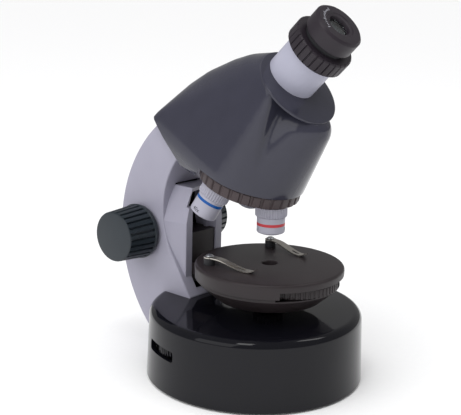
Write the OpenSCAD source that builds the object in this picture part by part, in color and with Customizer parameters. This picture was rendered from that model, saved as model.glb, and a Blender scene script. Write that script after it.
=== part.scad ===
// Small upright student microscope: drum base with lamp, curved arm, focusing stage,
// three-objective turret, hooded head and inclined zoom eyepiece.
// Origin on the floor under the middle of the base, +Z up, -Y towards the user.

/* [Base] */
// Outer radius of the drum-shaped base at the floor
base_r = 66.2; // [65:0.1:70]
// Height of the base's flat top above the floor
base_top = 43.5; // [43:0.1:44]
// Radius of the rounded top edge of the base
base_edge = 5; // [3:0.5:7]
// How much narrower the base wall is at its top
base_draft = 1.6; // [0.5:0.1:2]
// Height of the rubber feet
foot_h = 1.2; // [0.8:0.1:1.5]
// Wall thickness of the moulded covers
wall = 2.5; // [2:0.1:2.8]

/* [Arm and column] */
// Half the width of the arm
arm_half = 20; // [19.5:0.1:20]
// Radius of the arm's back curve
arm_back_r = 90; // [88:0.5:92]
// Radius of the arm's inner curve
arm_inner_r = 52.4; // [52:0.1:53]
// Distance of the column's front face behind the base centre
column_y = 43.5; // [43:0.1:45]
// Height of the column's top above the floor
column_top = 111; // [108:0.5:112]
// Half the width of the column's front face
column_half = 16.5; // [15:0.1:16.8]
// Half the width of the slot that the stage slides in
slot_half = 11; // [10.9:0.1:11.2]

/* [Stage] */
// Radius of the round stage
stage_r = 45; // [44:0.1:45.5]
// Height of the stage's top face in the stored position
stage_top = 72.4; // [72:0.1:73]
// Radius of the hole in the middle of the stage
aperture_r = 4.7; // [4:0.1:5]
// Radius of the filter wheel under the stage
wheel_r = 29.5; // [29:0.1:30]
// Length of a slide clip from its rivet to its tip
clip_length = 32; // [28:0.5:33]

/* [Turret and objectives] */
// Tilt of the turret from level
turret_tilt = 17; // [16:0.1:18]
// Radius of the turret ring
turret_r = 31; // [30.5:0.1:31.2]
// Thickness of the turret ring
turret_h = 7.2; // [7:0.1:7.4]
// Height of the low-power objective's tip
tip_low = 91; // [90:0.1:92]
// Height of the medium-power objective's tip when it is swung in
tip_medium = 90; // [89.5:0.1:91]
// Height of the high-power objective's tip when it is swung in
tip_high = 88.5; // [88:0.1:89.5]

/* [Eyepiece] */
// Outer radius of the eyepiece tube
tube_r = 15.3; // [15:0.1:15.4]
// Outer radius of the ribbed zoom ring
ring_r = 18.6; // [18:0.1:19]
// Outer radius of the eyepiece cap
cap_r = 15.2; // [15:0.1:15.5]

/* [Focus] */
// Height of the focus shaft
shaft_z = 79.3; // [79:0.1:79.6]
// Outer radius of a focus knob at its inner end
knob_r = 17.5; // [17:0.1:18]
// Distance of a knob's outer face from the middle
knob_end = 45.1; // [44:0.1:46]

/* [Hidden] */
$fn = 64;

gap = 0.3;
run = 0.06;

// Base
shell_r = base_r - wall;
cell_y = 50.5;
cell_r = 7.2;
cell_x = 8.4;
cell_z = 12.6;
tray = [17.4, 33, 21.4];
cell_back = tray[1] - 7.7;
post_r = 54;
post_angles = [25, -35, -95, -155];
lamp_r = 9;
dimmer_angle = 161;
dimmer_at = 48.5;
dimmer_z = 24.8;
dimmer_r = 16;
dimmer_h = 5;

// Arm: two arcs in the side view, ending in a foot inside the base
back_at = [8, 80];
inner_at = [8.1, 96.5];
arm_end = 62;
line_angle = 33;
foot_y = 36.6;
foot_z = 5;
side_wall = 2.8;
arm_bosses = [[84, 112], [84, 48], [52, 25], [48, 146]];
shaft_y = 79;
shaft_r = 3;
bush_r = 5.5;

// Optical axis and stage
axis_y = -9.8;
stage_low = 63.3;
stage_skin = 67.9;
housing_low = 51.5;
wheel_y = -24.3;
wheel_z = [62, 67.2];
window = [30.5, 22];
slide_half = slot_half - gap;
post_at = [28.6, 13];
post_h = 4.2;
strip = 0.6;
clip_lean = 8;

// Rack and pinion
tooth_module = 0.8;
pinion_teeth = 12;
pitch_r = tooth_module * pinion_teeth / 2;
pitch = PI * tooth_module;
rack_y = shaft_y - pitch_r;

// Turret: the centre of its lower face, and the screw circle of the objectives
turret_at = [0, 7.7, 116.8];
turret_axis = [0, -sin(turret_tilt), cos(turret_tilt)];
objective_r = 8.4;
collar_r = 9.6;
seat_z = 107.5;
thread_r = 7;
thread_top = 113.5;
plate_low = turret_h + 1;
plate_high = plate_low + 3;
detent_y = 17;

head_screw_r = 25.4;
head_screw_angles = [-25, 25, 155, 205];

// Eyepiece axis: leans towards the user through the mirror's middle
mirror_at = [0, -10, 173.2];
lean = 45;
tube_bore = tube_r - 2;
sleeve_r = tube_bore - gap;
collar_off = -4.9;
rim_r = 23.4;
head_wall = 1.8;

function arc(at, r, a0, a1, n) =
    [for (i = [0:n]) let (a = a0 + (a1 - a0) * i / n) [at[0] + r * cos(a), at[1] + r * sin(a)]];
function ribbed(r, depth, n, land) =
    [for (i = [0:n - 1], j = [0:3])
        let (a = (i + [0, land, land, 1][j]) * 360 / n) (r - (j > 1 ? depth : 0)) * [cos(a), sin(a)]];
function gear(n, root, tip) =
    [for (i = [0:n - 1], j = [0:3]) let (r = [root, tip, tip, root][j], w = [-0.75, -0.3, 0.3, 0.75][j],
        a = (i + 0.5) * 360 / n + w / r * 180 / PI) r * [cos(a), sin(a)]];
function line_end(r, y) =
    let (p = inner_at + r * [cos(line_angle), -sin(line_angle)], k = (p[0] - y) / sin(line_angle))
    [y, p[1] - k * cos(line_angle)];
function arm_outline(t) = let (r = arm_inner_r + t, b = arm_back_r - t, low = foot_z + t)
    concat(arc(inner_at, r, arm_end - t, -line_angle, 20),
        [line_end(r, foot_y + t), [foot_y + t, low]],
        arc(back_at, b, asin((low - back_at[1]) / b), arm_end - t, 28));

module along_x(x0, x1) {
    translate([x0, 0, 0]) rotate([90, 0, 90]) linear_extrude(x1 - x0) children();
}
module rod_x(r, x0, x1) {
    translate([x0, 0, 0]) rotate([0, 90, 0]) cylinder(r = r, h = x1 - x0);
}
module ring(r, bore, h) {
    difference() {
        cylinder(r = r, h = h);
        translate([0, 0, -1]) cylinder(r = bore, h = h + 2);
    }
}
module box(lo, hi) {
    translate(lo) cube(hi - lo);
}
module on_turret() {
    translate(turret_at) rotate([turret_tilt, 0, 0]) children();
}
module at_station(a) {
    translate(turret_at) rotate(a = a, v = turret_axis) translate(-turret_at)
        translate([0, axis_y, 0]) children();
}
module on_eyepiece(s) {
    translate(mirror_at) rotate([lean, 0, 0]) translate([0, 0, s]) children();
}

// Base ---------------------------------------------------------------------------------------
module base_profile() {
    top_r = base_r - base_draft;
    polygon(concat([[shell_r, foot_h], [base_r, foot_h]],
        arc([top_r - base_edge, base_top - base_edge], base_edge, 0, 90, 8),
        [[0.01, base_top], [0.01, base_top - wall], [top_r - base_edge - 1, base_top - wall],
         [shell_r - base_draft, base_top - base_edge - 1]]));
}
module arm_passage(c) {
    box([-arm_half - c, foot_y - c, foot_z - c], [arm_half + c, base_r + 5, base_top + 5]);
}
module base_shell() color("#26252a") {
    difference() {
        union() {
            rotate_extrude($fn = 128) base_profile();
            for (a = post_angles) rotate(a) translate([post_r, 0, foot_h + wall + 0.5])
                cylinder(r = 4, h = base_top - wall - foot_h - wall);
        }
        arm_passage(0.1);
        rotate(dimmer_angle) box([dimmer_at, -14, 21.6], [base_r + 3, 14, 28]);
        translate([0, axis_y, base_top - wall - 1]) cylinder(r = lamp_r + 0.05, h = wall + 2);
        for (a = post_angles) rotate(a) translate([post_r, 0, 0]) cylinder(r = 1.4, h = 20);
    }
}
module base_plate() color("#242426") difference() {
    translate([0, 0, foot_h]) cylinder(r = shell_r - 0.2, h = wall, $fn = 128);
    box([-tray[0], -tray[1], 0], [tray[0], tray[1] - 6, 9]);
    for (a = post_angles) rotate(a) translate([post_r, 0, 0]) cylinder(r = 1.7, h = 20);
    for (a = post_angles) rotate(a) translate([post_r, 0, 0]) cylinder(r = 3, h = foot_h + 1.6);
}
module battery_door() color("#2b2b2e") {
    box([-tray[0] + 0.2, -tray[1] + 0.2, foot_h], [tray[0] - 0.2, tray[1] - 6.2, foot_h + 1.6]);
}
module rubber_feet() color("#161616") {
    cylinder(r = 6.5, h = foot_h);
    for (a = [45, 135, 225, 315]) rotate(a) translate([42, 0, 0]) cylinder(r = 6.5, h = foot_h);
}
module base_screws() color("silver") for (a = post_angles) rotate(a) translate([post_r, 0, 0]) {
    translate([0, 0, foot_h]) cylinder(r = 2.8, h = 1.6);
    translate([0, 0, foot_h + 1.6]) cylinder(r = 1.4, h = 12);
}
module battery_tray() color("#3a3a3e") difference() {
    box([-tray[0], -tray[1], foot_h + wall], [tray[0], tray[1] - 6, tray[2]]);
    box([-tray[0] + 1.2, -tray[1] + 1.2, 0], [tray[0] - 1.2, tray[1] - 7.2, tray[2] - 1.2]);
}
module batteries() color("#b08a3a") for (x = [-cell_x, cell_x]) {
    translate([x, cell_back - cell_y, cell_z]) rotate([-90, 0, 0]) {
        cylinder(r = cell_r, h = cell_y - 1.2);
        cylinder(r = 2.7, h = cell_y);
    }
}
module battery_contacts() color("#c9c9c4") {
    box([-15, -tray[1] + 1.2, 6], [15, -tray[1] + 1.7, 18]);
    box([-15, cell_back, 6], [15, cell_back + 0.5, 18]);
    for (x = [-cell_x, cell_x]) translate([x, -tray[1] + 1.7, cell_z]) rotate([-90, 0, 0])
        cylinder(r1 = 5, r2 = 3, h = cell_back - cell_y + tray[1] - 1.7);
}
module lamp_board() color("#2f6b3c") translate([0, axis_y, 27]) cylinder(r = 14, h = 1.6);
module lamp() color("#f4f1d8") translate([0, axis_y, 28.6]) {
    cylinder(r = 2.5, h = 4.5);
    translate([0, 0, 4.5]) sphere(r = 2.5);
}
module lamp_cup() color("#e8e8e6") translate([0, axis_y, 0]) {
    translate([0, 0, 28.6]) ring(11, lamp_r, 12.4);
    for (a = [45, 165, 285]) rotate(a) translate([12.6, 0, tray[2]]) cylinder(r = 1.5, h = 5.6);
}
module lamp_window() color("#3c3c40") translate([0, axis_y, 0]) {
    translate([0, 0, base_top - wall]) cylinder(r = lamp_r, h = wall - 0.3);
}
module dimmer_pot() color("#3b3f46") rotate(dimmer_angle) translate([dimmer_at, 0, 0]) {
    box([-6, -6, foot_h + wall], [6, 6, 21.6]);
    translate([0, 0, 21]) cylinder(r = 2, h = dimmer_z + 2.4 - 21);
}
module dimmer_wheel() color("#1c1c1f") rotate(dimmer_angle) translate([dimmer_at, 0, 0]) {
    translate([0, 0, dimmer_z - dimmer_h / 2]) difference() {
        linear_extrude(dimmer_h) polygon(ribbed(dimmer_r, 0.6, 48, 0.5));
        translate([0, 0, -1]) cylinder(r = 2 + run, h = dimmer_h + 2);
        translate([0, 0, 3]) ring(dimmer_r - 3, 5, 5);
    }
}

// Arm and column -----------------------------------------------------------------------------
module arm_body(x0, x1, i0, i1) {
    difference() {
        along_x(x0, x1) polygon(arm_outline(0));
        along_x(i0, i1) polygon(arm_outline(wall));
        box([-slot_half - gap, foot_y - 1, 47], [slot_half + gap, 64, column_top + 1]);
    }
}
module arm_left() color("#a5a3b0") difference() {
    union() {
        arm_body(-arm_half, 0, -arm_half + side_wall, 1);
        for (p = arm_bosses) translate([0, p[0], p[1]]) rod_x(3.5, -arm_half + 1, 0);
    }
    for (p = arm_bosses) translate([0, p[0], p[1]]) rod_x(1.4, -10, 1);
    translate([0, shaft_y, shaft_z]) rod_x(bush_r, -arm_half - 1, -10);
}
module arm_right() color("#a5a3b0") difference() {
    union() {
        arm_body(0, arm_half, -1, arm_half - side_wall);
        for (p = arm_bosses) translate([0, p[0], p[1]]) rod_x(4.5, 0, arm_half - 1);
    }
    for (p = arm_bosses) translate([0, p[0], p[1]]) {
        rod_x(1.7, -1, arm_half + 1);
        rod_x(3.1, 6, arm_half + 1);
    }
    translate([0, shaft_y, shaft_z]) rod_x(bush_r, 10, arm_half + 1);
}
module arm_screws() color("silver") for (p = arm_bosses) translate([0, p[0], p[1]]) {
    rod_x(1.4, -9.5, 6);
    rod_x(2.8, 6, 8.2);
}
module column() color("#98959f") {
    r = arm_inner_r - 0.05;
    top_angle = asin((column_top - inner_at[1]) / r);
    seam = concat([line_end(r, column_y)], arc(inner_at, r, -line_angle, top_angle, 12),
        [[column_y, column_top]]);
    side = inner_at[0] + r;
    difference() {
        union() {
            intersection() {
                along_x(-arm_half, arm_half) polygon(seam);
                linear_extrude(column_top + 1) polygon([[-column_half, column_y],
                    [column_half, column_y], [arm_half - 0.4, side], [0.4 - arm_half, side]]);
            }
        }
        difference() {
            box([-slot_half, column_y - 1, 40], [slot_half, side + 1, column_top - 2.5]);
            for (m = [0, 1]) mirror([m, 0, 0])
                box([slot_half - 2, column_y + 6, 40], [slot_half + 1, column_y + 9, column_top + 9]);
        }
        on_turret() translate([0, 0, -28]) cylinder(r = turret_r + 3.2, h = 30, $fn = 128);
    }
}
module shaft_bushes() color("#d8d4c4") for (m = [0, 1]) mirror([m, 0, 0])
    translate([arm_half - side_wall - 1.5, shaft_y, shaft_z]) rotate([0, 90, 0]) {
        ring(bush_r, shaft_r + run, side_wall + 2.1);
        ring(bush_r + 1.5, shaft_r + run, 1.5);
    }

// Focus drive --------------------------------------------------------------------------------
module focus_shaft() color("silver") translate([0, shaft_y, shaft_z]) {
    rod_x(shaft_r, -knob_end + 2.5, knob_end - 2.5);
}
module pinion() color("#e9e6da") translate([0, shaft_y, shaft_z]) difference() {
    union() {
        along_x(-5, 5) polygon(gear(pinion_teeth, pitch_r - 0.9, pitch_r + 0.7));
        rod_x(pitch_r + 1.4, 5, 7);
    }
    rod_x(shaft_r, -6, 8);
}
module knob() translate([0, shaft_y, shaft_z]) rotate([0, 90, 0]) difference() {
    intersection() {
        translate([0, 0, arm_half + 1.5])
            cylinder(r1 = knob_r, r2 = knob_r - 1.9, h = knob_end - arm_half - 1.5);
        linear_extrude(knob_end + 1) polygon(ribbed(knob_r, 1.3, 26, 0.6));
    }
    cylinder(r = shaft_r, h = knob_end - 2.5);
}
module knob_left() color("#2b3036") mirror([1, 0, 0]) knob();
module knob_right() color("#2b3036") knob();
module rack() color("#e9e6da") {
    box([-4.8, 66, 60], [4.8, rack_y - 0.9, 88]);
    for (i = [-7:3]) along_x(-4.8, 4.8) translate([rack_y, shaft_z + i * pitch])
        polygon([[-1, -0.75], [-0.9, -0.75], [0.7, -0.3], [0.7, 0.3], [-0.9, 0.75], [-1, 0.75]]);
}

// Stage --------------------------------------------------------------------------------------
module stage_carrier() color("#3d3639") difference() {
    union() {
        box([-slide_half, 22, 56], [slide_half, 46, stage_low - 0.4]);
        box([-slide_half, 12, 56], [slide_half, 27, stage_skin]);
        box([-slide_half, column_y + 1, 50], [slide_half, 66, 82]);
    }
    for (m = [0, 1]) mirror([m, 0, 0])
        box([slide_half - 2.3, column_y + 6 - gap, 40], [slide_half + 1, column_y + 9 + gap, 90]);
}
module stage_plate() color("#463f42") difference() {
    translate([0, axis_y, 0]) rotate_extrude($fn = 128)
        polygon([[aperture_r, stage_skin], [aperture_r, stage_top], [stage_r - 1.5, stage_top],
            [stage_r, stage_top - 1.5], [stage_r - 0.4, stage_low], [stage_r - 2.5, stage_low],
            [stage_r - 2.5, stage_skin]]);
    box([-window[0], axis_y - stage_r - 5, stage_low - 1], [window[0], window[1] - 60, wheel_z[1] + 0.4]);
    translate([0, wheel_y, stage_low]) cylinder(r = 2, h = stage_top - stage_low - 1.6);
}
module stage_housing() color("#3d3639") difference() {
    translate([0, axis_y, 0]) rotate_extrude($fn = 128)
        polygon([[stage_r - 2.6, stage_low], [stage_r - 2.6, stage_low - 2.3], [31.5, housing_low],
            [8.8, housing_low], [8.8, housing_low + 2], [30.8, housing_low + 2],
            [stage_r - 5.1, stage_low - 1.6], [stage_r - 5.1, stage_low]]);
    box([-window[0], axis_y - stage_r, wheel_z[0] - gap], [window[0], window[1] - 60, stage_low + 1]);
    box([-slide_half, 20, 56], [slide_half, 40, stage_low + 1]);
}
module condenser_cell() color("#39343a") translate([0, axis_y, 46]) difference() {
    union() {
        linear_extrude(5.5) polygon(ribbed(9.2, 0.5, 30, 0.5));
        translate([0, 0, 5.5]) cylinder(r = 8.8, h = 9.5);
    }
    translate([0, 0, -1]) cylinder(r = 6, h = 20);
}
module condenser_lens() color("#cfe3ea") translate([0, axis_y, 54]) cylinder(r = 6, h = 3);
module wheel_screw() color("silver") translate([0, wheel_y, 0]) {
    translate([0, 0, wheel_z[0] - 2.3]) cylinder(r = 4, h = 2);
    translate([0, 0, wheel_z[0] - 2.3]) cylinder(r = 2, h = stage_skin - wheel_z[0] + 4.5);
}
module filter_wheel() color("#4a4346") translate([0, wheel_y, wheel_z[0]]) difference() {
    linear_extrude(wheel_z[1] - wheel_z[0]) polygon(ribbed(wheel_r, 0.6, 60, 0.55));
    translate([0, 0, -1]) cylinder(r = 2 + run, h = 9);
    for (i = [0:5]) rotate(90 + i * 60) translate([wheel_y * -1 + axis_y, 0, -1])
        cylinder(r = 4.4, h = 9);
}
module filters() translate([0, wheel_y, wheel_z[0] + 2]) for (i = [1:5])
    color(["#d23b3b", "#3b62d2", "#3bb45a", "#e0c23a", "#dddddd"][i - 1])
        rotate(90 + i * 60) translate([axis_y - wheel_y, 0, 0]) cylinder(r = 4.4, h = 1);
module clip_posts() color("#161518") for (m = [0, 1]) mirror([m, 0, 0])
    translate([post_at[0], post_at[1], stage_top]) difference() {
        cylinder(r = 3.4, h = post_h);
        translate([0, 0, 1]) cylinder(r = 1.2, h = post_h);
    }
module clip_rivets() color("silver") for (m = [0, 1]) mirror([m, 0, 0])
    translate([post_at[0], post_at[1], stage_top]) {
        translate([0, 0, 1]) cylinder(r = 1.2, h = post_h + 1);
        translate([0, 0, post_h + strip + 0.3]) intersection() {
            translate([0, 0, -1.6]) sphere(r = 2.9);
            cylinder(r = 4, h = 3);
        }
    }
module clip(side) {
    z = stage_top + post_h + 0.15;
    low = stage_top + 0.5;
    line = [[-3.4, z], [5, z], [clip_length - 6, low], [clip_length - 4, low], [clip_length, low + 1.6]];
    top = [for (i = [4:-1:0]) line[i] + [0, strip]];
    translate([side * post_at[0], post_at[1], 0]) rotate(-90 - side * clip_lean) difference() {
        intersection() {
            translate([0, 5, 0]) rotate([90, 0, 0]) linear_extrude(10) polygon(concat(line, top));
            linear_extrude(2 * stage_top) polygon(concat(arc([0, 0], 3.4, 90, 270, 12),
                [[clip_length - 5, -2.6], [clip_length, -1.4], [clip_length, 1.4],
                 [clip_length - 5, 2.6]]));
        }
        cylinder(r = 1.2 + run, h = 2 * stage_top);
        box([clip_length - 12, -0.6, 0], [clip_length - 6.5, 0.6, 2 * stage_top]);
    }
}
module clip_left() color("#b9b4ac") clip(-1);
module clip_right() color("#b9b4ac") clip(1);

// Turret and objectives ----------------------------------------------------------------------
module turret_disc() color("#584e50") difference() {
    union() {
        on_turret() linear_extrude(turret_h) polygon(ribbed(turret_r, 0.9, 30, 0.72));
        for (a = [0, 120, 240]) at_station(a) translate([0, 0, seat_z])
            cylinder(r = 10, h = 8);
    }
    on_turret() translate([0, 0, -5]) cylinder(r = shaft_r + run, h = 20);
    for (a = [0, 120, 240]) at_station(a) translate([0, 0, seat_z - 1]) {
        cylinder(r = thread_r, h = thread_top - seat_z + 1);
        cylinder(r = 5, h = 16);
    }
}
module turret_axle() color("silver") on_turret() {
    translate([0, 0, -3.3]) cylinder(r = 5, h = 3);
    translate([0, 0, -3.3]) cylinder(r = shaft_r, h = plate_high + 5.3);
    translate([0, 0, plate_high]) cylinder(r = 5, h = 2);
}
module turret_detent() color("#c8c6bd") on_turret() translate([0, detent_y, 0]) {
    translate([0, 0, turret_h + gap]) cylinder(r = 1.5, h = plate_high - turret_h - gap);
    translate([-3, -11, plate_high]) cube([6, 13, 0.5]);
}
module objective(tip, a, band_z) at_station(a) rotate_extrude()
    polygon([[3.2, tip], [6.6, tip], [objective_r, tip + 1.8], [objective_r, band_z - 0.9],
        [objective_r - 0.3, band_z - 0.9], [objective_r - 0.3, band_z + 0.9],
        [objective_r, band_z + 0.9], [objective_r, seat_z - 6], [collar_r, seat_z - 5.6],
        [collar_r, seat_z], [thread_r, seat_z], [thread_r, thread_top], [4.5, thread_top],
        [4.5, tip + 3], [3.2, tip + 2]]);
module band(a, band_z) at_station(a) translate([0, 0, band_z - 0.9])
    ring(objective_r + 0.05, objective_r - 0.3, 1.8);
module objective_low() color("#bdbccb") objective(tip_low, 0, 97);
module objective_medium() color("#bdbccb") objective(tip_medium, 120, 98);
module objective_high() color("#bdbccb") objective(tip_high, 240, 98.8);
module band_low() color("#b8343c") band(0, 97);
module band_medium() color("#d8b23a") band(120, 98);
module band_high() color("#0a4f96") band(240, 98.8);
module objective_lenses() color("#cfe3ea") for (o = [[tip_low, 0], [tip_medium, 120], [tip_high, 240]])
    at_station(o[1]) translate([0, 0, o[0] + 0.4]) cylinder(r = 3.2, h = 1.4);

// Head ---------------------------------------------------------------------------------------
module head_frame() color("#47474c") difference() {
    union() {
        on_turret() translate([0, 0, plate_low]) cylinder(r = turret_r - 3, h = 3);
        along_x(-12, 12) polygon(concat(arc(inner_at, arm_inner_r - 0.05, arm_end - 1, 47, 6),
            [[30.6, 133.9], [24, 131.9]]));
    }
    on_turret() cylinder(r = shaft_r, h = 20);
    on_turret() translate([0, detent_y, 0]) cylinder(r = 1.5, h = plate_high);
    at_head_screws() cylinder(r = 1.4, h = 20);
    at_head_screws() cylinder(r = 2.6, h = plate_low + 1.5);
    translate([0, axis_y, seat_z]) cylinder(r = 8, h = 40);
}
module collar_disc(t, s0, s1) on_eyepiece(s0) translate([0, collar_off, 0])
    cylinder(r = rim_r - t, h = s1 - s0, $fn = 48);
module rim_disc(t, n0, n1) on_turret() translate([0, 0, n0])
    cylinder(r = turret_r + 1 - t, h = n1 - n0, $fn = 48);
module rear_slab(t, s0, high) on_eyepiece(0) {
    box([-22.2 + t, 9.6 + t / 2, s0], [22.2 - t, high, -66]);
    box([t - 13, 20, s0 + 0.5], [13 - t, high + 4, -66]);
}
module roof(t, s) on_eyepiece(s) translate([0, 24.5, 0]) cylinder(r = 22.2 - t, h = 3, $fn = 48);
module nose(t) translate([0, -18.5, 166]) sphere(r = 24 - t, $fn = 40);
module head_form(t, rear, rim, high) {
    hull() {
        rear_slab(t, rear, high);
        roof(t, -62);
        on_eyepiece(-27) translate([0, 20, 0]) cylinder(r = 21 - t, h = 3, $fn = 48);
        collar_disc(t, 6, 13.3 - t);
    }
    hull() {
        rim_disc(t, rim, turret_h + 3);
        nose(t);
        collar_disc(t, 2, 13.3 - t);
    }
    hull() {
        rim_disc(t, rim, turret_h + 3);
        rear_slab(t, rear, high);
        on_eyepiece(-27) translate([0, 18, 0]) cylinder(r = 23 - t, h = 3, $fn = 48);
    }
}
module head_shell() color("#3f3f45") difference() {
    union() {
        head_form(0, -69, turret_h + 0.5, 41);
        on_eyepiece(13.3) translate([0, 0, -1]) cylinder(r1 = 19, r2 = 17.2, h = 3.8);
    }
    difference() {
        head_form(head_wall, -72, turret_h - 2, 38.6);
        at_head_screws() translate([0, 0, plate_high]) {
            cylinder(r = 3.4, h = 12);
            translate([0, -1.2, 0]) cube([9, 2.4, 12]);
        }
    }
    at_head_screws() cylinder(r = 1.4, h = plate_low + 9);
    on_turret() translate([0, 0, -5]) cylinder(r = turret_r + gap, h = turret_h + 5 + gap);
    on_eyepiece(0) cylinder(r = tube_r, h = 30);
}
module at_head_screws() on_turret() for (a = head_screw_angles) rotate(a)
    translate([head_screw_r, 0, 0]) children();
module head_screws() color("silver") at_head_screws() {
    translate([0, 0, plate_low]) cylinder(r = 2.6, h = 1.5);
    translate([0, 0, plate_low]) cylinder(r = 1.4, h = 9);
}
module mirror_place() translate(mirror_at) rotate([lean / 2, 0, 0]) children();
module mirror_bracket() color("#2c2c30") mirror_place() {
    box([-13, 2, -12], [13, 4, 12]);
    for (x = [-13, 11]) box([x, 2, -12], [x + 2, 14, -9]);
}
module light_mirror() color("#dfe6ea") mirror_place() box([-12, 0, -11], [12, 2, 11]);

// Eyepiece -----------------------------------------------------------------------------------
module eyepiece_tube() color("#c3c3d2") on_eyepiece(0) difference() {
    union() {
        translate([0, 0, 11.6]) cylinder(r = tube_r, h = 26.1);
        translate([0, 0, 37]) cylinder(r = tube_r - 0.6, h = 9);
    }
    translate([0, 0, 10]) cylinder(r = tube_bore, h = 40);
}
module zoom_ring() color("#3b3538") on_eyepiece(38) difference() {
    linear_extrude(10) polygon(ribbed(ring_r, 0.7, 28, 0.8));
    translate([0, 0, -1]) cylinder(r = tube_r - 0.6 + gap, h = 9.3);
    cylinder(r = tube_bore, h = 12);
}
module eyepiece_sleeve() color("#161517") on_eyepiece(24) ring(sleeve_r, sleeve_r - 1.6, 27.5);
module eyepiece_cap() color("#3b3538") on_eyepiece(51) difference() {
    union() {
        cylinder(r = cap_r, h = 8.6, $fn = 96);
        translate([0, 0, 8.6]) cylinder(r1 = cap_r, r2 = cap_r - 1.6, h = 1.9, $fn = 96);
    }
    translate([0, 0, -1]) cylinder(r = sleeve_r, h = 1.5);
    translate([0, 0, 0.4]) cylinder(r = 11, h = 6);
    cylinder(r = 6.7, h = 20);
}
module eye_lens() color("#cfe3ea") on_eyepiece(53.5) cylinder(r = 11, h = 3.5);
module field_lens() color("#cfe3ea") on_eyepiece(27) cylinder(r = sleeve_r - 1.6, h = 3);

base_shell();
base_plate();
battery_door();
rubber_feet();
base_screws();
battery_tray();
batteries();
battery_contacts();
lamp_board();
lamp();
lamp_cup();
lamp_window();
dimmer_pot();
dimmer_wheel();
arm_left();
arm_right();
arm_screws();
column();
shaft_bushes();
focus_shaft();
pinion();
knob_left();
knob_right();
rack();
stage_carrier();
stage_plate();
stage_housing();
condenser_cell();
condenser_lens();
clip_posts();
clip_rivets();
clip_left();
clip_right();
filter_wheel();
filters();
wheel_screw();
turret_disc();
turret_axle();
turret_detent();
objective_low();
objective_medium();
objective_high();
band_low();
band_medium();
band_high();
objective_lenses();
head_frame();
head_shell();
head_screws();
light_mirror();  // mirror
mirror_bracket();
eyepiece_tube();
zoom_ring();
eyepiece_sleeve();
eyepiece_cap();
eye_lens();
field_lens();
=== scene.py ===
import math

import bmesh
import bpy
import numpy as np
from mathutils import Matrix, Vector


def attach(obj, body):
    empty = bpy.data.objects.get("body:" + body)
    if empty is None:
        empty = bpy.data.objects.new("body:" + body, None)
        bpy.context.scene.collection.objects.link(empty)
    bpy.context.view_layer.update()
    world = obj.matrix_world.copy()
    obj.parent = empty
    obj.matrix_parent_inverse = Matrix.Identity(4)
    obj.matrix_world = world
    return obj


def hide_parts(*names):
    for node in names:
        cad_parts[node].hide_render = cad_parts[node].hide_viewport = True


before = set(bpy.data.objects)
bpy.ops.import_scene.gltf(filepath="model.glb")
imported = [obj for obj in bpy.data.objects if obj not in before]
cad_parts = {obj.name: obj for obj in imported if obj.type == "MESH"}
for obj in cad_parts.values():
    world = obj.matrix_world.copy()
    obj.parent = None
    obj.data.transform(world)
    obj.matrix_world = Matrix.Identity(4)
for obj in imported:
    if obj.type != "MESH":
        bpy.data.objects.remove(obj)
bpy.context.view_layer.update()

mm = 0.001


# The room ------------------------------------------------------------------------------------
# A white photographic table that runs on as its own backdrop, a soft grey room round it, two
# softboxes overhead and one at the left. The camera stands low, in front and to the left.

def linear(code):
    """An sRGB hex colour as the linear colour that a shader takes."""
    parts = [int(code[i:i + 2], 16) / 255 for i in (1, 3, 5)]
    return tuple(c / 12.92 if c < 0.04045 else ((c + 0.055) / 1.055) ** 2.4 for c in parts) + (1,)


def add(tree, kind, links=None, **settings):
    """Adds a shader node. links holds an input's value, or another node's output to join to it."""
    node = tree.nodes.new("ShaderNode" + kind)
    for key, value in settings.items():
        setattr(node, key, value)
    for key, value in (links or {}).items():
        if isinstance(value, bpy.types.NodeSocket):
            tree.links.new(value, node.inputs[key])
        else:
            node.inputs[key].default_value = value
    return node


def blank(name):
    """A new material's node tree with only its output node."""
    finish = bpy.data.materials.new(name)
    finish.use_nodes = True
    finish.node_tree.nodes.clear()
    return finish, finish.node_tree


def piece(name, corners, faces, crease=32):
    """A mesh object from corners in mm, smooth but for edges that turn more than crease degrees."""
    mesh = bpy.data.meshes.new(name)
    mesh.from_pydata((np.asarray(corners, float) * mm).tolist(), [], faces)
    made = bpy.data.objects.new(name, mesh)
    bpy.context.collection.objects.link(made)
    return smoothed(made, crease)


def smoothed(made, crease=32):
    """Welds the mesh, turns its faces outward and sets which edges stay sharp."""
    form = bmesh.new()
    form.from_mesh(made.data)
    bmesh.ops.remove_doubles(form, verts=form.verts, dist=0.002 * mm)
    bmesh.ops.recalc_face_normals(form, faces=form.faces)
    form.to_mesh(made.data)
    form.free()
    made.data.polygons.foreach_set("use_smooth", [True] * len(made.data.polygons))
    made.data.set_sharp_from_angle(angle=math.radians(crease))
    return made


table_half = 16.0
table_top, table_tree = blank("painted_white_table")
# Matt white paint: a faint roller texture a few millimetres across.
roller_mm = 3.85
roller = add(table_tree, "TexNoise", {"Scale": 1 / (roller_mm * mm), "Detail": 3.0, "Vector":
    add(table_tree, "TexCoord").outputs["Object"]})
tone = add(table_tree, "Mix", {"Factor": roller.outputs["Fac"], "A": linear("#f7f7f8"),
    "B": linear("#fbfbfb")}, data_type="RGBA")
dents = add(table_tree, "Bump", {"Strength": 0.1, "Distance": 0.0001,
    "Height": roller.outputs["Fac"]})
paint = add(table_tree, "BsdfPrincipled", {"Base Color": tone.outputs["Result"],
    "Roughness": 0.8, "Specular IOR Level": 0.2, "Normal": dents.outputs["Normal"]})
add(table_tree, "OutputMaterial", {"Surface": paint.outputs["BSDF"]})
table = piece("white_table", [(x / mm, y / mm, 0) for x, y in ((-table_half, -table_half),
    (table_half, -table_half), (table_half, table_half), (-table_half, table_half))],
    [(0, 1, 2, 3)])
table.data.materials.append(table_top)

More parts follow.
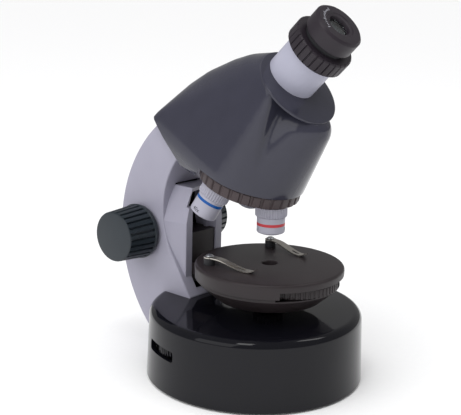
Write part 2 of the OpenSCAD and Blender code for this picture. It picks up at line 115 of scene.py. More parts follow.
room = bpy.data.worlds.new("soft_room")
bpy.context.scene.world = room
room.use_nodes = True
room.node_tree.nodes["Background"].inputs["Color"].default_value = (1, 1, 1, 1)
room.node_tree.nodes["Background"].inputs["Strength"].default_value = 0.32

# A wide soft sun stands for the ceiling bounce: it lights the whole table evenly.
bounce = bpy.data.lights.new("ceiling_bounce", "SUN")
bounce.energy, bounce.angle = 2.5, math.radians(110)
ceiling = bpy.data.objects.new("ceiling_bounce", bounce)
bpy.context.collection.objects.link(ceiling)
ceiling.rotation_euler = (math.radians(-4), math.radians(-24), 0)
ceiling.visible_glossy = False
# Each softbox: name, place, width, height, watts, where it points (all in metres).
softboxes = [
    ("softbox_overhead_left", (-0.62, -0.30, 1.15), 0.28, 0.45, 1.8, (0, 0, 0.08)),
    ("softbox_overhead_right", (0.55, -0.52, 1.15), 0.28, 0.45, 1.4, (0, 0, 0.08)),
    ("softbox_side", (-1.55, 0.10, 0.85), 1.3, 1.2, 5.5, (0, 0, 0.12)),
]
for name, place, width, height, watts, aim in softboxes:
    lamp_data = bpy.data.lights.new(name, "AREA")
    lamp_data.shape, lamp_data.size, lamp_data.size_y = "RECTANGLE", width, height
    lamp_data.energy = watts
    box = bpy.data.objects.new(name, lamp_data)
    bpy.context.collection.objects.link(box)
    box.location = place
    box.rotation_euler = (Vector(aim) - Vector(place)).to_track_quat("-Z", "Y").to_euler()

bearing, height_angle, tilt = (math.radians(a) for a in (-49.08, 13.76, 1.40))
camera_back = Vector((math.sin(bearing) * math.cos(height_angle),
    -math.cos(bearing) * math.cos(height_angle), math.sin(height_angle)))
level = Vector((math.cos(bearing), math.sin(bearing), 0))
above = camera_back.cross(level)
distance, aside, raised = 0.6755, 0.01681, 0.10131
sight = camera_back * distance - level * aside + above * raised
camera_right = level * math.cos(tilt) + above * math.sin(tilt)
camera_up = above * math.cos(tilt) - level * math.sin(tilt)
camera = bpy.data.objects.new("camera", bpy.data.cameras.new("camera"))
bpy.context.collection.objects.link(camera)
camera.data.sensor_width, camera.data.lens = 36, 84.925
camera.data.clip_start, camera.data.clip_end = 0.01, 60
camera.matrix_world = Matrix.Translation(sight) @ Matrix(
    (camera_right, camera_up, camera_back)).transposed().to_4x4()
bpy.context.scene.camera = camera
bpy.context.scene.view_settings.view_transform = "Standard"


# Base cover ----------------------------------------------------------------------------------
# A drum moulded in one shot from near-black ABS, polished in the tool, open below. The arm's
# foot stands in a notch at its back, and the lamp dial looks out of a slot at its left.
base_r, base_top, base_edge, base_draft = 66.2, 43.5, 5.0, 1.6
foot_h, wall = 1.2, 2.5
axis_y = -9.8
lamp_r = 9.0
arm_half, foot_y, foot_z = 20.0, 36.6, 5.0
dimmer_angle, dimmer_at = math.radians(161), 48.5
post_angles = [math.radians(a) for a in (25, -35, -95, -155)]
post_from_middle, post_r, screw_r = 54.0, 4.0, 1.4
dial_low, dial_high, dial_gap, dial_window = 22.3, 27.3, 0.7, 28.0


def eased(*corners, steps=4):
    """A closed outline with its corners rounded: each corner is (x, y) or (x, y, radius)."""
    outline = []
    for i, corner in enumerate(corners):
        at = Vector(corner[:2])
        if len(corner) < 3:
            outline.append(tuple(at))
            continue
        before = (Vector(corners[i - 1][:2]) - at).normalized()
        after = (Vector(corners[(i + 1) % len(corners)][:2]) - at).normalized()
        half = before.angle(after) / 2
        reach = corner[2] / math.tan(half)
        middle = at + (before + after).normalized() * (corner[2] / math.sin(half))
        start = (at + before * reach - middle).normalized()
        end = (at + after * reach - middle).normalized()
        outline += [tuple(middle + start.slerp(end, k / steps) * corner[2])
            for k in range(steps + 1)]
    return outline


def turned(name, outline, steps=160, ribs=None, crease=32):
    """A closed outline of (radius, height) turned about Z. ribs gives the depth cut at an angle
    and at a point of the outline."""
    n = len(outline)
    corners = []
    for turn in (2 * math.pi * i / steps for i in range(steps)):
        for r, z in outline:
            out = r - (ribs(turn, r, z) if ribs else 0)
            corners.append((out * math.cos(turn), out * math.sin(turn), z))
    faces = [(i * n + j, (i + 1) % steps * n + j, (i + 1) % steps * n + (j + 1) % n,
        i * n + (j + 1) % n) for i in range(steps) for j in range(n)
        if outline[j][0] > 0 or outline[(j + 1) % n][0] > 0]
    return piece(name, corners, faces, crease)


def pressed(name, outline, low, high, axis="Z", easing=(0, 0), steps=3, crease=32):
    """An outline pushed along an axis from low to high, its two rims rounded by easing."""
    n = len(outline)
    order = {"X": lambda a, b, c: (c, a, b), "Y": lambda a, b, c: (a, c, b),
        "Z": lambda a, b, c: (a, b, c)}[axis]
    corners = [order(a, b, c) for c in (low, high) for a, b in outline]
    faces = [tuple(range(n)), tuple(range(n, 2 * n))]
    faces += [(i, (i + 1) % n, n + (i + 1) % n, n + i) for i in range(n)]
    made = piece(name, corners, faces, crease)
    form = bmesh.new()
    form.from_mesh(made.data)
    along = "XYZ".index(axis)
    for limit, radius in zip((low, high), easing):
        rim = [e for e in form.edges if radius and
            all(abs(v.co[along] - limit * mm) < 1e-7 for v in e.verts)]
        if rim:
            bmesh.ops.bevel(form, geom=rim, offset=radius * mm, segments=steps, profile=0.5,
                affect="EDGES", clamp_overlap=True)
    form.to_mesh(made.data)
    form.free()
    return smoothed(made, crease)


def block(name, low, high):
    """A plain box, used only as a cutting tool or as part of a larger piece."""
    return pressed(name, [(low[0], low[1]), (high[0], low[1]), (high[0], high[1]),
        (low[0], high[1])], low[2], high[2])


def punch(name, radius, low, high, steps=64):
    """A plain round tool along Z."""
    return turned(name, [(radius, low), (radius, high), (0, high), (0, low)], steps)


def moved(made, place):
    """Moves a piece's mesh by a matrix in mm."""
    made.data.transform(Matrix.Scale(mm, 4) @ place @ Matrix.Scale(1 / mm, 4))
    return made


def settled(made, crease=32):
    """Applies a piece's modifiers to its mesh."""
    bpy.context.view_layer.update()
    shape = bpy.data.meshes.new_from_object(
        made.evaluated_get(bpy.context.evaluated_depsgraph_get()))
    made.modifiers.clear()
    old, made.data = made.data, shape
    name = old.name
    bpy.data.meshes.remove(old)
    shape.name = name
    return smoothed(made, crease)


def carved(made, *tools, crease=32):
    """Cuts tools out of a piece, one by one."""
    for tool in tools:
        cut = made.modifiers.new("cut", "BOOLEAN")
        cut.operation, cut.object, cut.solver = "DIFFERENCE", tool, "EXACT"
        cut.material_mode = "TRANSFER"
    settled(made, crease)
    for tool in tools:
        bpy.data.objects.remove(tool)
    return made


def joined(made, *others, crease=32):
    """Adds the meshes of other pieces to a piece."""
    form = bmesh.new()
    for part in (made, *others):
        form.from_mesh(part.data)
    form.to_mesh(made.data)
    form.free()
    for part in others:
        bpy.data.objects.remove(part)
    made.data.polygons.foreach_set("use_smooth", [True] * len(made.data.polygons))
    made.data.set_sharp_from_angle(angle=math.radians(crease))
    return made


def fitted(made, finish, body, slot, *nodes):
    """Gives a piece its finish and the body it moves with, and hides the nodes it stands for. slot
    is not used.
    """
    if not made.data.materials:
        made.data.materials.append(finish)
    else:
        made.data.materials[0] = finish
    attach(made, body)
    if nodes:
        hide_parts(*nodes)
    return made


def dressed(finish, *nodes):
    """Gives CAD nodes a finish."""
    for node in nodes:
        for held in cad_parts[node].material_slots:
            held.material = finish


def moulded(name, tint, shade, rough, flow_mm, flow_um, grain_mm, grain_um, coat=0.0,
            coat_rough=0.05, spread=0.06, gloss=0.3):
    """An injection-moulded plastic: a slow flow waviness from the cooling melt, and the fine
    grain of the mould's steel. Sizes are in mm and depths in micrometres. gloss scales how
    much the bare skin reflects, and coat adds the shine of a polished tool."""
    finish, tree = blank(name)
    where = add(tree, "TexCoord").outputs["Object"]
    flow = add(tree, "TexNoise", {"Vector": where, "Scale": 1 / (flow_mm * mm), "Detail": 2.0,
        "Roughness": 0.4})
    grain = add(tree, "TexNoise", {"Vector": where, "Scale": 1 / (grain_mm * mm), "Detail": 4.0,
        "Roughness": 0.6})
    colour = add(tree, "Mix", {"Factor": flow.outputs["Fac"], "A": linear(shade),
        "B": linear(tint)}, data_type="RGBA")
    dull = add(tree, "MapRange", {"Value": grain.outputs["Fac"], "From Min": 0.3,
        "From Max": 0.7, "To Min": rough - spread / 2, "To Max": rough + spread / 2})
    wavy = add(tree, "Bump", {"Strength": 1.0, "Distance": flow_um * 1e-6,
        "Height": flow.outputs["Fac"]})
    rough_skin = add(tree, "Bump", {"Strength": 1.0, "Distance": grain_um * 1e-6,
        "Height": grain.outputs["Fac"], "Normal": wavy.outputs["Normal"]})
    skin = add(tree, "BsdfPrincipled", {"Base Color": colour.outputs["Result"],
        "Roughness": dull.outputs["Result"], "IOR": 1.53, "Specular IOR Level": gloss,
        "Coat Weight": coat, "Coat Roughness": coat_rough,
        "Normal": rough_skin.outputs["Normal"]})
    add(tree, "OutputMaterial", {"Surface": skin.outputs["BSDF"]})
    return finish


# High-gloss ABS from a polished tool: mirror-like, with a slow waviness of a few micrometres.
gloss_black_abs = moulded("gloss_black_abs", "#0e0e14", "#0c0c11", 0.08, 14, 2.5, 0.9, 0.25,
    coat=0.1, gloss=0.2)
top_r = base_r - base_draft
drum = turned("base_cover", eased((base_r, foot_h, 0.5), (top_r, base_top, base_edge),
    (0, base_top), (0, base_top - wall), (top_r - wall, base_top - wall, 3.0),
    (base_r - wall, foot_h, 0.3), steps=10), steps=288, crease=40)
notch = block("notch", (-arm_half - 0.1, foot_y - 0.1, foot_z - 0.1),
    (arm_half + 0.1, base_r + 5, base_top + 5))
half, low, high = dial_window / 2, dial_low - dial_gap, dial_high + dial_gap
dial_slot = moved(pressed("dial_slot", eased((-half, low, 1.6), (half, low, 1.6), (half, high,
    1.6), (-half, high, 1.6)), dimmer_at, base_r + 3, "Y"),
    Matrix.Rotation(dimmer_angle - math.pi / 2, 4, "Z"))
lamp_hole = moved(punch("lamp_hole", lamp_r + 0.05, 30, 50, 96),
    Matrix.Translation((0, axis_y, 0)))
carved(drum, notch, dial_slot, lamp_hole, crease=40)
low, high = foot_h + 3, base_top - wall + 0.5
posts = [moved(turned(f"post_{i}", [(screw_r, low), (post_r, low), (post_r, high), (screw_r,
    high)], 32), Matrix.Rotation(a, 4, "Z") @ Matrix.Translation((post_from_middle, 0, 0)))
    for i, a in enumerate(post_angles)]
joined(drum, *posts, crease=40)
fitted(drum, gloss_black_abs, "stand", "gloss_black", "base_shell")


# Bottom plate, battery door, feet and screws ------------------------------------------------
# A black ABS plate closes the drum from below, with a door for two cells. Four soft rubber
# pads and a fifth in the middle keep it off the table, and four plated screws go up into the
# drum's posts.
# Black ABS from a spark-eroded tool: matt, with a grain of about half a millimetre.
matt_black_abs = moulded("matt_black_abs", "#2a2a2d", "#242427", 0.52, 20, 2, 0.5, 9)
# Thermoplastic rubber: dull and slightly dusty, a soft sheen at a low angle.
foot_rubber = moulded("moulded_rubber", "#1b1b1b", "#151515", 0.82, 6, 3, 0.4, 14, spread=0.1)
dressed(matt_black_abs, "base_plate", "battery_door")
dressed(foot_rubber, "rubber_feet")


def bright_metal(name, tint, shade, rough, scratch_mm, across=(1, 1, 1), depth_um=1.5,
                 spread=0.12):
    """A bare metal with fine tool or tumbling marks, stretched along one way by across."""
    finish, tree = blank(name)
    where = add(tree, "TexCoord").outputs["Object"]
    stretched = add(tree, "Mapping", {"Vector": where, "Scale": across})
    marks = add(tree, "TexNoise", {"Vector": stretched.outputs["Vector"],
        "Scale": 1 / (scratch_mm * mm), "Detail": 5.0, "Roughness": 0.65})
    stain = add(tree, "TexNoise", {"Vector": where, "Scale": 1 / (4 * mm), "Detail": 2.0})
    colour = add(tree, "Mix", {"Factor": stain.outputs["Fac"], "A": linear(shade),
        "B": linear(tint)}, data_type="RGBA")
    dull = add(tree, "MapRange", {"Value": marks.outputs["Fac"], "From Min": 0.3,
        "From Max": 0.7, "To Min": rough - spread / 2, "To Max": rough + spread / 2})
    scored = add(tree, "Bump", {"Strength": 1.0, "Distance": depth_um * 1e-6,
        "Height": marks.outputs["Fac"]})
    skin = add(tree, "BsdfPrincipled", {"Base Color": colour.outputs["Result"], "Metallic": 1.0,
        "Roughness": dull.outputs["Result"], "Normal": scored.outputs["Normal"]})
    add(tree, "OutputMaterial", {"Surface": skin.outputs["BSDF"]})
    return finish


# Zinc-plated steel: bright, a little blue, with short tumbling marks.
zinc_steel = bright_metal("zinc_plated_steel", "#d2d3d4", "#bcbec2", 0.28, 0.35)
dressed(zinc_steel, "base_screws")


# Battery box and lamp -----------------------------------------------------------------------
# Two cells lie in a tray between sprung contacts. A white diode on a round green board shines
# up through a white cup and a smoked window set flush in the drum's top.
# Printed shrink sleeve over the cells: gloss, ochre, with a faint ripple.
cell_sleeve = moulded("cell_shrink_sleeve", "#b98f3e", "#a67d31", 0.25, 5, 4, 0.6, 1.5, coat=0.3)
# Solder resist on glass epoxy: green gloss with the weave just showing.
solder_resist = moulded("solder_resist", "#2c6b3a", "#235a30", 0.3, 1.2, 3, 0.3, 2, coat=0.3)
# White ABS: even and slightly glossy.
white_abs = moulded("white_abs", "#e9e9e6", "#e0e0dc", 0.35, 12, 2, 0.5, 2)
# Natural acetal: waxy off-white, for gears and bushes.
acetal = moulded("natural_acetal", "#e8e4d8", "#ddd8ca", 0.38, 9, 2, 0.5, 2)


def clear(name, tint, rough, ior, seed_mm, transmission=1.0):
    """A clear moulded or ground part with a trace of surface haze."""
    finish, tree = blank(name)
    haze = add(tree, "TexNoise", {"Vector": add(tree, "TexCoord").outputs["Object"],
        "Scale": 1 / (seed_mm * mm), "Detail": 2.0})
    dull = add(tree, "MapRange", {"Value": haze.outputs["Fac"], "To Min": rough * 0.6,
        "To Max": rough * 1.4})
    ripple = add(tree, "Bump", {"Strength": 0.2, "Distance": 1e-6,
        "Height": haze.outputs["Fac"]})
    glass = add(tree, "BsdfPrincipled", {"Base Color": linear(tint), "IOR": ior,
        "Roughness": dull.outputs["Result"], "Transmission Weight": transmission,
        "Normal": ripple.outputs["Normal"]})
    add(tree, "OutputMaterial", {"Surface": glass.outputs["BSDF"]})
    return finish


# Smoked acrylic: nearly black until the lamp is on.
smoked_acrylic = clear("smoked_acrylic", "#3a3a3e", 0.08, 1.49, 2.0, 0.85)
# Clear epoxy of the diode: a warm, slightly cloudy drop.
diode_epoxy = clear("diode_epoxy", "#f3efda", 0.15, 1.55, 0.8, 0.7)
dressed(matt_black_abs, "battery_tray", "dimmer_pot")
dressed(cell_sleeve, "batteries")
dressed(zinc_steel, "battery_contacts")
dressed(solder_resist, "lamp_board")
dressed(white_abs, "lamp_cup")
dressed(diode_epoxy, "lamp")
window = moved(turned("smoked_window", eased((lamp_r, base_top - wall, 0.2), (lamp_r,
    base_top - 0.15, 0.35), (0, base_top - 0.05), (0, base_top - wall)), 96),
    Matrix.Translation((0, axis_y, 0)))
fitted(window, smoked_acrylic, "stand", "smoke_window", "lamp_window")


# Brightness dial ----------------------------------------------------------------------------
# A flat black thumb wheel, notched round its rim, on the spindle of the dimmer under it. Its
# edge stands in the slot at the left of the drum.
def notched(count, land, depth, over, between=(-1e9, 1e9), soft=0.12):
    """Ribs round a rim: count of them, each land wide as a share of the pitch, for turned()."""
    def cut(turn, r, z):
        if r < over or not between[0] <= z <= between[1]:
            return 0
        place = (turn * count / (2 * math.pi)) % 1
        into = min(place, 1 - place) - land / 2
        return depth * min(1, max(0, into / soft + 0.5))
    return cut


dial_r, dial_hole = 15.4, 2.06
dial = turned("brightness_dial", eased((dial_hole, dial_low), (dial_r, dial_low, 0.5), (dial_r,
    dial_high, 0.5), (dial_hole, dial_high)), 384, notched(48, 0.5, 0.6, 14))
moved(dial, Matrix.Rotation(dimmer_angle, 4, "Z") @ Matrix.Translation((dimmer_at, 0, 0)))
fitted(dial, gloss_black_abs, "dimmer", "black_plastic", "dimmer_wheel")


# Arm -----------------------------------------------------------------------------------------
# Two hollow mouldings in lavender-grey ABS, screwed together down the middle. They run from a
# foot inside the drum, back round the focus shaft, and up under the head.
back_at, back_r = (8, 80), 90.0
inner_at, inner_r = (8.1, 96.5), 52.4
arm_end, line_angle = math.radians(62), math.radians(33)
arm_wall, side_wall = 2.5, 2.8
slot_half = 11.0
shaft_y, shaft_z, bush_r = 79.0, 79.3, 5.5
slot_low, slot_high, slot_back = 47, 112, 64
arm_bosses = [(84, 112), (84, 48), (52, 25), (48, 146)]
head_hole, head_depth = 3.1, 6


def arc(at, radius, start, end, steps):
    """Points along an arc."""
    return [(at[0] + radius * math.cos(start + (end - start) * i / steps),
        at[1] + radius * math.sin(start + (end - start) * i / steps)) for i in range(steps + 1)]


def line_end(radius, y):
    """Where the arm's straight front edge meets a depth y."""
    from_y = inner_at[0] + radius * math.cos(line_angle)
    from_z = inner_at[1] - radius * math.sin(line_angle)
    return (y, from_z - (from_y - y) / math.tan(line_angle))


def arm_outline(inset, more=64):
    """The arm from the side, as (y, z), moved in from its skin by inset."""
    r, b, low = inner_r + inset, back_r - inset, foot_z + inset
    return (arc(inner_at, r, arm_end - math.radians(inset), -line_angle, more)
        + [line_end(r, foot_y + inset), (foot_y + inset, low)]
        + arc(back_at, b, math.asin((low - back_at[1]) / b), arm_end - math.radians(inset), more))


def lined(made, outside, inside, all_inside=False):
    """Gives a piece two finishes, the second a painted shade for its inner faces. A cutting tool
    that is all inside hands on the second.
    """
    made.data.materials.append(outside)
    made.data.materials.append(inside)
    made.data.polygons.foreach_set("material_index", [int(all_inside)] * len(made.data.polygons))
    return made


def across(side, y, z):
    """A place on the line through the arm at (y, z), with Z pointing out to one side."""
    return Matrix.Translation((0, y, z)) @ Matrix.Rotation(side * math.pi / 2, 4, "Y")


# Satin ABS, lavender grey, from a lightly etched tool: soft broad highlights, faint grain.
satin_grey_abs = moulded("satin_grey_abs", "#9c9aa9", "#9492a1", 0.36, 16, 3, 0.45, 3.5,
    coat=0.1, coat_rough=0.25)
# Painted shade: the inside faces of the same grey moulding get a dull near-black finish, so that
# the cavity reads black in the slot.
painted_shade_inside = moulded("painted_shade_dull_black", "#1d1a19", "#171514", 0.75, 10, 3, 0.6, 8)
for side, name in ((-1, "arm_left"), (1, "arm_right")):
    skin = pressed(f"{name}_half", arm_outline(0), *sorted((0.06 * side, arm_half * side)), "X",
        easing=(1.3, 0.35) if side < 0 else (0.35, 1.3), steps=4)
    hollow = pressed("hollow", arm_outline(arm_wall), *sorted((-1 * side,
        (arm_half - side_wall) * side)), "X")
    # The faces that the hollow cuts get the painted shade finish.
    lined(hollow, satin_grey_abs, painted_shade_inside, all_inside=True)
    lined(skin, satin_grey_abs, painted_shade_inside)
    slot = block("slot", (-slot_half - 0.3, foot_y - 1, slot_low),
        (slot_half + 0.3, slot_back, slot_high))
    tools = [hollow, slot, moved(punch("bush_hole", bush_r, 10, 25), across(side, shaft_y,
        shaft_z))]
    # The screws go in from the right, so that half has the deep holes for their heads.
    if side > 0:
        tools += [moved(punch(f"well_{i}", head_hole, head_depth, 25, 48), across(1, y, z))
            for i, (y, z) in enumerate(arm_bosses)]
        boss = [(1.7, 0.1), (4.4, 0.1), (4.4, 18), (head_hole, 18), (head_hole, head_depth),
            (1.7, head_depth)]
    else:
        boss = [(1.45, 0.1), (3.5, 0.1), (3.5, 18), (1.45, 18)]
    carved(skin, *tools)
    joined(skin, *[moved(turned(f"boss_{i}", boss, 48), across(side, y, z))
        for i, (y, z) in enumerate(arm_bosses)])
    fitted(skin, satin_grey_abs, "stand", "grey_satin", name)
dressed(zinc_steel, "arm_screws")


# Column --------------------------------------------------------------------------------------
# A separate grey moulding clipped between the two halves of the arm. Its two cheeks flank the
# slot that the stage slides in, and it is scooped at the top to clear the objectives.
column_y, column_top, column_half = 43.5, 111.0, 16.5
turret_at, turret_tilt = Vector((0, 7.7, 116.8)), math.radians(17)
turret_r, turret_h = 31.0, 7.2
on_turret = Matrix.Translation(turret_at) @ Matrix.Rotation(turret_tilt, 4, "X")
cheek_crease = 89.0
seam_r = inner_r - 0.05
seam_top = math.asin((column_top - inner_at[1]) / seam_r)
seam = ([line_end(seam_r, column_y)] + arc(inner_at, seam_r, -line_angle, seam_top, 28)
    + [(column_y, column_top)])
behind = inner_at[0] + seam_r


def cheek(y, z):
    """Half the column's width at a point of its side view."""
    share = (y - column_y) / (behind - column_y)
    wide = column_half + (arm_half - 0.4 - column_half) * share
    rise = max(0, z - cheek_crease) / (column_top - cheek_crease)
    return wide + (slot_half + 0.4 - wide) * rise


column = pressed("arm_column", seam, -1, 1, "X")
form = bmesh.new()
form.from_mesh(column.data)
bmesh.ops.bisect_plane(form, geom=form.verts[:] + form.edges[:] + form.faces[:],
    plane_co=(0, 0, cheek_crease * mm), plane_no=(0, 0, 1))
for corner in form.verts:
    corner.co.x = math.copysign(cheek(corner.co.y / mm, corner.co.z / mm) * mm, corner.co.x)
front = [e for e in form.edges if all(v.co.y < (column_y + 0.01) * mm for v in e.verts)
    and abs(e.verts[0].co.x - e.verts[1].co.x) < 3 * mm]
bmesh.ops.bevel(form, geom=front, offset=0.5 * mm, segments=3, profile=0.5, affect="EDGES")
form.to_mesh(column.data)
form.free()
smoothed(column, 12)
lined(column, satin_grey_abs, painted_shade_inside)
slide_way = block("slide_way", (-slot_half, column_y - 1, 40), (slot_half, behind + 1,
    column_top - 2.5))
# Two tongues stand into the slot, and the stage's carrier is grooved to run on them.
tongues = [block(f"tongue_{x}", (x - 1.5, column_y + 6, 39), (x + 1.5, column_y + 9, 112))
    for x in (-10.5, 10.5)]
carved(slide_way, *tongues)
# The column's faces that the slide way cuts get the painted shade finish.
lined(slide_way, satin_grey_abs, painted_shade_inside, all_inside=True)
relief = moved(punch("relief", turret_r + 3.2, -28, 2, 128), on_turret)
carved(column, slide_way, relief, crease=12)
fitted(column, satin_grey_abs, "stand", "grey_satin", "column")


# Focus drive ---------------------------------------------------------------------------------
# A steel shaft through two acetal bushes turns a twelve-tooth pinion on the stage's rack. A
# ribbed slate-blue knob is pressed on each end of the shaft.
knob_r, knob_in, knob_end = 17.5, 21.5, 45.1
dressed(acetal, "shaft_bushes", "pinion", "rack")
dressed(zinc_steel, "focus_shaft")
# Slate-blue ABS with a fine even grain, silky where fingers polish it.
slate_abs = moulded("slate_blue_abs", "#262d33", "#1f252b", 0.34, 10, 3, 0.4, 4, coat=0.1,
    coat_rough=0.3)
for side, name in ((-1, "knob_left"), (1, "knob_right")):
    knob = turned(f"focus_{name}", eased((3, knob_in), (knob_r - 0.6, knob_in, 0.5), (knob_r,
        24.2, 0.4), (knob_r - 0.5, 24.6), (knob_r - 0.55, 24.7), (15.75, 43.9), (15.5,
        knob_end - 0.3, 0.9), (0, knob_end), (0, 42.6), (3, 42.6)), 520,
        notched(26, 0.72, 1.3, 13.5, (24.65, 44.0), 0.07))
    moved(knob, across(side, shaft_y, shaft_z))
    fitted(knob, slate_abs, "focus", "knob_plastic", name)


# Stage ---------------------------------------------------------------------------------------
# A round plate moulded in brown-black ABS, its skirt cut away in front for the filter wheel,
# over a shallow cone that closes it below. A carrier slides in the column behind it.
stage_r, stage_top, stage_low, stage_skin = 45.0, 72.4, 63.3, 67.9
aperture_r = 4.7
housing_low, cone_low_r = 51.5, 31.5
barrel_r, light_r, barrel_low = 8.8, 6, 46
wheel_y, wheel_low, wheel_high, wheel_r = -24.3, 62.0, 67.2, 29.5
window_half, window_front = 30.5, -38.0
slide_half = slot_half - 0.3
over_axis = Matrix.Translation((0, axis_y, 0))
# Brown-black ABS, spark-eroded: matt from above, a low sheen towards the light.
stage_abs = moulded("brown_black_abs", "#2c2628", "#262123", 0.42, 18, 3, 0.45, 8)
dressed(stage_abs, "stage_carrier")
plate = moved(turned("stage_top_plate", eased((aperture_r, stage_skin), (aperture_r,
    stage_top - 0.5), (aperture_r + 0.5, stage_top), (stage_r, stage_top, 1.8),
    (stage_r - 0.4, stage_low, 0.4), (stage_r - 2.5, stage_low), (stage_r - 2.5, stage_skin)),
    256, crease=40), over_axis)
carved(plate, block("window", (-window_half, axis_y - stage_r - 5, stage_low - 1),
    (window_half, window_front, wheel_high + 0.4)), crease=40)
fitted(plate, stage_abs, "stage", "stage_plastic", "stage_plate")
shell = moved(turned("stage_cone", eased((stage_r - 2.6, stage_low), (stage_r - 2.6,
    stage_low - 2.3, 0.6), (cone_low_r, housing_low, 1.5), (barrel_r, housing_low), (barrel_r,
    housing_low + 2), (cone_low_r - 0.7, housing_low + 2), (stage_r - 5.1, stage_low - 1.6),
    (stage_r - 5.1, stage_low)), 256, crease=40), over_axis)
carved(shell, block("window", (-window_half, axis_y - stage_r, wheel_low - 0.3), (window_half,
    window_front, stage_low + 1)), block("carrier_gap", (-slide_half, 20, 56), (slide_half, 40,
    stage_low + 1)), crease=40)
fitted(shell, stage_abs, "stage", "stage_plastic", "stage_housing")
condenser = moved(turned("condenser_barrel", eased((light_r, barrel_low), (barrel_r + 0.4,
    barrel_low, 0.4), (barrel_r + 0.4, housing_low, 0.3), (barrel_r, housing_low), (barrel_r,
    61), (light_r, 61)), 360, notched(30, 0.5, 0.5, 9, (barrel_low, housing_low))), over_axis)
fitted(condenser, stage_abs, "stage", "stage_plastic", "condenser_cell")
# Crown glass, polished and coated: nearly clear with a cool cast.
coated_glass = clear("coated_glass", "#eaf4f8", 0.02, 1.52, 3.0)
dressed(coated_glass, "condenser_lens")


# Slide clips ---------------------------------------------------------------------------------
# Two spring-steel strips, nickel plated, each turning on a domed rivet in a black post. They
# slope down to press on a slide, and turn up at the tip.
post_at, post_h, clip_post_r, pin_r = (28.6, 13.0), 4.2, 3.4, 1.2
strip, clip_length, clip_half, tip_half = 0.6, 32.0, 2.7, 1.4
clip_lean = math.radians(8)
# Nickel on spring steel: warm grey and satin, with fine marks along the strip.
satin_nickel = bright_metal("satin_nickel", "#c9c4bd", "#b3aea7", 0.32, 0.5, (1, 0.12, 1))
for side, name in ((-1, "left"), (1, "right")):
    over_post = Matrix.Translation((side * post_at[0], post_at[1], stage_top))
    post = moved(turned(f"clip_post_{name}", eased((pin_r, 0.02), (clip_post_r, 0.02),
        (clip_post_r, post_h, 0.4), (pin_r, post_h)), 64), over_post)
    fitted(post, matt_black_abs, "stage", "black_plastic", "clip_posts")
    over = post_h + strip
    rivet = moved(turned(f"clip_rivet_{name}", eased((0.5, 1), (pin_r, 1), (pin_r, over + 0.3),
        (2.45, over + 0.3, 0.15), (2.1, over + 1.1, 0.6), (1.0, over + 1.55, 0.5), (0.5, over
        + 1.2)), 64), over_post)
    fitted(rivet, zinc_steel, "stage", "steel", "clip_rivets")
    # The strip is a ribbon of stations along its length: distance, height, half width.
    drop = post_h + 0.15 - 0.5
    rows = []
    for i in range(73):
        x = -3.39 + (clip_length + 3.39) * i / 72
        down = min(1, max(0, (x - 5) / (clip_length - 11)))
        curl = max(0, x - (clip_length - 4)) / 4
        z = post_h + 0.15 - drop * down * down * (3 - 2 * down) + 1.6 * curl ** 1.5
        if x < 2.0:
            half = max(0.4, math.sqrt(clip_post_r ** 2 - x ** 2))
        else:
            half = clip_half - (clip_half - tip_half) * max(0, x - (clip_length - 4.5)) / 4.5
        rows += [(x, -half, z), (x, half, z), (x, half, z + strip), (x, -half, z + strip)]
    last = len(rows) - 4
    faces = [(0, 1, 2, 3), (last, last + 1, last + 2, last + 3)]
    faces += [(i + j, i + (j + 1) % 4, i + 4 + (j + 1) % 4, i + 4 + j)
        for i in range(0, last, 4) for j in range(4)]
    clip = piece(f"slide_clip_{name}", rows, faces, 30)
    pin_hole = punch("pin_hole", pin_r + 0.1, 0, 9, 48)
    grip = pressed("grip", eased((clip_length - 12, -0.7, 0.6), (clip_length - 6.5, -0.7, 0.6),
        (clip_length - 6.5, 0.7, 0.6), (clip_length - 12, 0.7, 0.6)), -1, 9)
    carved(clip, pin_hole, grip, crease=30)
    turn = -math.pi / 2 - side * clip_lean
    moved(clip, over_post @ Matrix.Rotation(turn, 4, "Z"))
    fitted(clip, satin_nickel, f"{name}_clip", "steel", f"clip_{name}")


# Filter wheel --------------------------------------------------------------------------------
# A ribbed disc between plate and cone with six holes, one open and five with coloured film. It
# turns on a steel screw from below, and its rim stands in the window under the plate.
filter_r = 4.4


def filter_place(i):
    """The place of one of the wheel's six holes."""
    return (Matrix.Translation((0, wheel_y, 0)) @ Matrix.Rotation(math.radians(90 + 60 * i), 4,
        "Z") @ Matrix.Translation((axis_y - wheel_y, 0, 0)))


wheel = moved(turned("filter_disc", eased((2.06, wheel_low), (wheel_r, wheel_low, 0.5),
    (wheel_r, wheel_high, 0.5), (2.06, wheel_high)), 720, notched(60, 0.55, 0.6, 28)),
    Matrix.Translation((0, wheel_y, 0)))
carved(wheel, *[moved(punch(f"hole_{i}", filter_r, 60, 70), filter_place(i)) for i in range(6)])
fitted(wheel, stage_abs, "filter_disc", "stage_plastic", "filter_wheel")
# Cellulose film: clear colours with a slight gloss.
for i, (name, colour) in enumerate((("red", "#d23b3b"), ("blue", "#3b62d2"),
        ("green", "#3bb45a"), ("yellow", "#e0c23a"), ("frosted", "#dddddd")), 1):
    film = clear(f"{name}_film", colour, 0.2, 1.47, 1.5, 0.8)
    disc = moved(turned(f"filter_{name}", eased((filter_r - 0.05, wheel_low + 2, 0.1),
        (filter_r - 0.05, wheel_low + 3, 0.1), (0, wheel_low + 3), (0, wheel_low + 2)), 64),
        filter_place(i))
    fitted(disc, film, "filter_disc", "filter_film", "filters")
dressed(zinc_steel, "wheel_screw")


# Turret --------------------------------------------------------------------------------------
# A warm-grey ring with thirty grip blocks round its rim, tilted to carry the idle objectives
# clear of the stage. It turns on a steel axle and clicks on a sprung pin.
objective_r, collar_r, seat_z = 8.4, 9.6, 107.5
thread_r, thread_top, stations = 7, 113.5, (0, 120, 240)


def at_station(angle):
    """The place of an objective that the turret has swung in by angle."""
    axis = Vector((0, -math.sin(turret_tilt), math.cos(turret_tilt)))
    return (Matrix.Translation(turret_at) @ Matrix.Rotation(math.radians(angle), 4, axis)
        @ Matrix.Translation(-turret_at) @ Matrix.Translation((0, axis_y, 0)))


